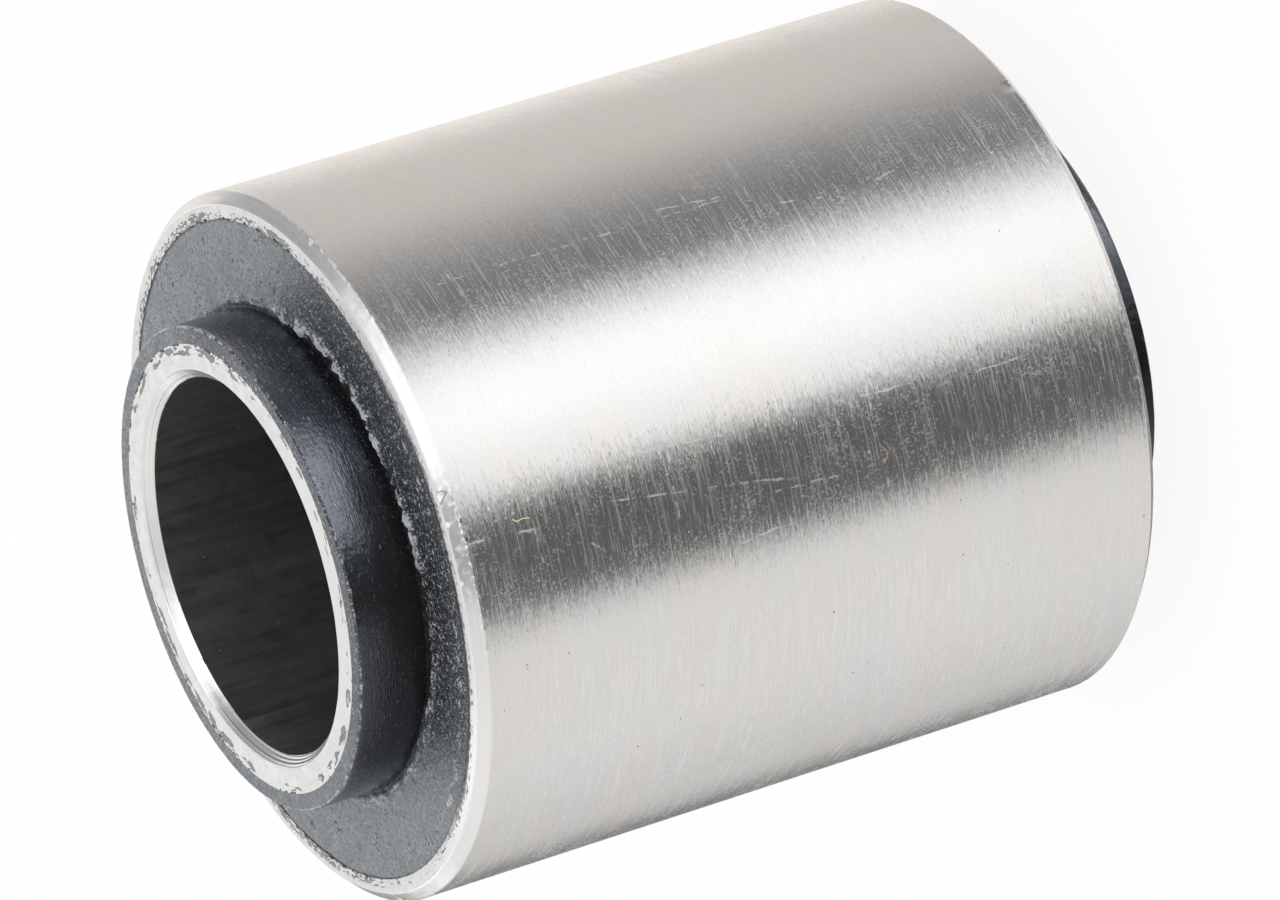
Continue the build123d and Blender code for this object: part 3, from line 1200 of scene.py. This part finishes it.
RUBBED_SHEEN = {"IOR": 1.85, "Specular IOR Level": 1.0, "Specular Tint": (0.80, 0.87, 1.0, 1)}
rubber_finishes = {
    "face": rubber_finish(
        "rubber_face",
        bloom=0.215,
        smoothest=0.28,
        grain_size=(0.09, 0.09, 0.09),
        grain_depth=0.07,
        crumb_share=0.85,
        porous=0.55,
    ),
    "collar side": rubber_finish(
        "rubber_collar_side",
        bloom=0.001,
        smoothest=0.06,
        grain_size=(0.55, 0.55, 0.06),
        grain_depth=0.022,
        crumb_share=0.22,
        dusty=-0.10,
        # How much of the collar's side is painted black as shade.
        painted_shade_share=0.68,
        sheen=RUBBED_SHEEN,
    ),
    "collar end": rubber_finish(
        "rubber_collar_end",
        bloom=0.165,
        smoothest=0.38,
        grain_size=(0.07, 0.07, 0.07),
        grain_depth=0.02,
        crumb_share=0.7,
        porous=0.3,
    ),
}
finished_piece("rubber_moulding", rubber_ring, rubber_finishes, rubber_finish_of, "rubber_body")

# %% [markdown]
# ## Inner sleeve
#
# The tube that the bolt clamps was faced and then chamfered at the mouth of its bore with a tool that
# chattered, which left a few real grooves. Its end is clean and nearly white but for thin islands of
# rubber that crept over the edge. The bore itself was never machined again: it is the dark, scaly
# inside of a drawn tube, with streaks that run the long way. The grooves catch the light one by one, so
# they are modelled, while the scale and the streaks are too thin to show as shape.


# %% Bore finish
DARK_SCALE = (0.06, 0.066, 0.062, 1)
PALE_SCALE = (0.15, 0.157, 0.147, 1)
BROWN_SCALE = (0.06, 0.058, 0.052, 1)


def bore_finish():
    """The dark scale of a drawn tube, with streaks that run along it."""
    finish, tree = new_material("drawn_bore")
    place, outward, _, height = measures(tree)
    rolled = wound(outward, BORE_RADIUS / MM, height)
    streaks = cloud(rolled, (0.35, 0.35, 6), seed=3, detail=3)
    wide = cloud(rolled, (1.4, 1.4, 14), seed=7, detail=2)
    specks = step(cloud(place, 0.13, seed=11, detail=1), 0.79, 0.82)
    scale = cloud(place, 0.9, seed=13, detail=3)
    contrast = step(streaks * 0.4 + wide * 0.3 + scale * 0.3, 0.28, 0.72)
    colour = blend(contrast, DARK_SCALE, PALE_SCALE)
    colour = blend(step(scale, 0.5, 0.72) * 0.4, colour, BROWN_SCALE)
    colour = blend(specks * 0.6, colour, grey(0.7))
    relief = streaks + scale
    bump = tree.node("ShaderNodeBump", None, {"Strength": 1, "Distance": 0.006 * MM, "Height": relief})
    finish_shader(
        finish,
        tree,
        {"Metallic": 0.6},
        {"Base Color": colour, "Roughness": 0.42 + scale * 0.2, "Normal": bump},
    )
    return finish


# %% Bore chamfer finish
TOOL_DARK = (0.50, 0.485, 0.48, 1)
TOOL_BRIGHT = (0.78, 0.775, 0.77, 1)
TOOL_DEEP = (0.24, 0.23, 0.22, 1)


def bore_chamfer_finish():
    """Steel cut by a tool that chattered, with one smoother stretch that carries a painted highlight."""
    finish, tree = new_material("bored_chamfer")
    _, outward, radius, _ = measures(tree)
    rolled = wound(outward, BORE_RADIUS / MM, radius)
    rings = cloud(rolled, (12, 12, 0.05), seed=5, detail=1)
    chatter = cloud(rolled, (0.5, 0.5, 0.3), seed=9, detail=2)
    colour = blend(rings, TOOL_DARK, TOOL_BRIGHT)
    # Painted highlight: a pale, smoother stretch between bearings 148 and 168.
    painted_highlight = window(bearing_wire(outward), 148, 34, 168, 18)
    colour = blend(step(rings, 0.43, 0.36) * 0.7, colour, TOOL_DEEP)
    colour = blend(painted_highlight * 0.7, colour, grey(0.9))
    roughness = 0.26 + rings * 0.1 - painted_highlight * 0.14
    finish_shader(
        finish,
        tree,
        {"Metallic": 1, "Anisotropic": 0.4, "Anisotropic Rotation": 0.25},
        {"Base Color": colour, "Roughness": roughness, "Normal": sideways(outward, (chatter - 0.5) * 0.2)},
    )
    return finish


# %% Shape of the inner sleeve
INNER_STEPS = 720
# The tool's grooves in the chamfers: how far apart they are, and how deep.
TOOL_PITCH = 0.13 * MM
TOOL_DEPTH = 0.012 * MM
# Rings across each chamfer, which are enough for the grooves, and across each end.
CHAMFER_RINGS = 23
END_RINGS = 5


def inner_shape(point, radius, bearing):
    """Chatter grooves in the bore's chamfers, and an outer edge that wavers."""
    from_end = min(point.z - TUBE_BOTTOM, TUBE_TOP - point.z)
    side = 1 if point.z > MIDDLE else -1
    in_chamfer = TOUCHING < from_end < BORE_CHAMFER - TOUCHING and radius < BORE_RADIUS + BORE_CHAMFER
    if in_chamfer:
        drift = ripple(Vector((point.x, point.y, 0)), 6 * MM, seed=5) * 0.7
        chatter = 0.12 + 0.88 * around(bearing, 108, 30, 22)
        depth = math.sin(math.tau * (radius / TOOL_PITCH + drift)) * TOOL_DEPTH * chatter
        return radius + depth * 0.7, point.z - side * depth * 0.5
    waver = ripple(point, 1.8 * MM, seed=3) * 0.012 * MM + ripple(point, 0.3 * MM, seed=7) * 0.006 * MM
    if from_end < TOUCHING and radius < INNER_RADIUS - TOUCHING:
        return radius, point.z + side * min(0.0, waver)
    if abs(from_end - BORE_CHAMFER) < TOUCHING:
        return radius - 0.4 * waver, point.z
    return radius, point.z


# %% Inner sleeve
def inner_finish_of(face):
    """The ends lie flat, the bore and the outside stand upright, and the chamfers are between."""
    middle = face.calc_center_median()
    if abs(face.normal.z) > 0.93:
        return "end"
    in_bore = math.hypot(middle.x, middle.y) < BORE_RADIUS + 0.01 * MM
    return "bore" if in_bore or abs(face.normal.z) < 0.2 else "chamfer"


inner_ring = spun_ring(
    [
        (BORE_RADIUS, TUBE_BOTTOM + BORE_CHAMFER, 0, CHAMFER_RINGS),
        (BORE_RADIUS + BORE_CHAMFER, TUBE_BOTTOM, 0, END_RINGS),
        (INNER_RADIUS, TUBE_BOTTOM, 0, 0),
        (INNER_RADIUS, TUBE_TOP, 0, END_RINGS),
        (BORE_RADIUS + BORE_CHAMFER, TUBE_TOP, 0, CHAMFER_RINGS),
        (BORE_RADIUS, TUBE_TOP - BORE_CHAMFER, 0, 8),
    ],
    INNER_STEPS,
)
sculpt(inner_ring, inner_shape)
inner_finishes = {
    "end": trimmed_end_finish(
        "trimmed_inner_end",
        seed=41,
        rubber_edge=INNER_RADIUS / MM,
        rag_size=0.80,
        rag_reach=0.55,
        clean_edge=0.08,
        level=0.53,
        near_highlight_level=0.53,
        lap_and_shade_share=0,
    ),
    "chamfer": bore_chamfer_finish(),
    "bore": bore_finish(),
}
finished_piece(
    "inner_sleeve_bored", inner_ring, inner_finishes, inner_finish_of, "inner_sleeve"
)

bpy.context.view_layer.update()
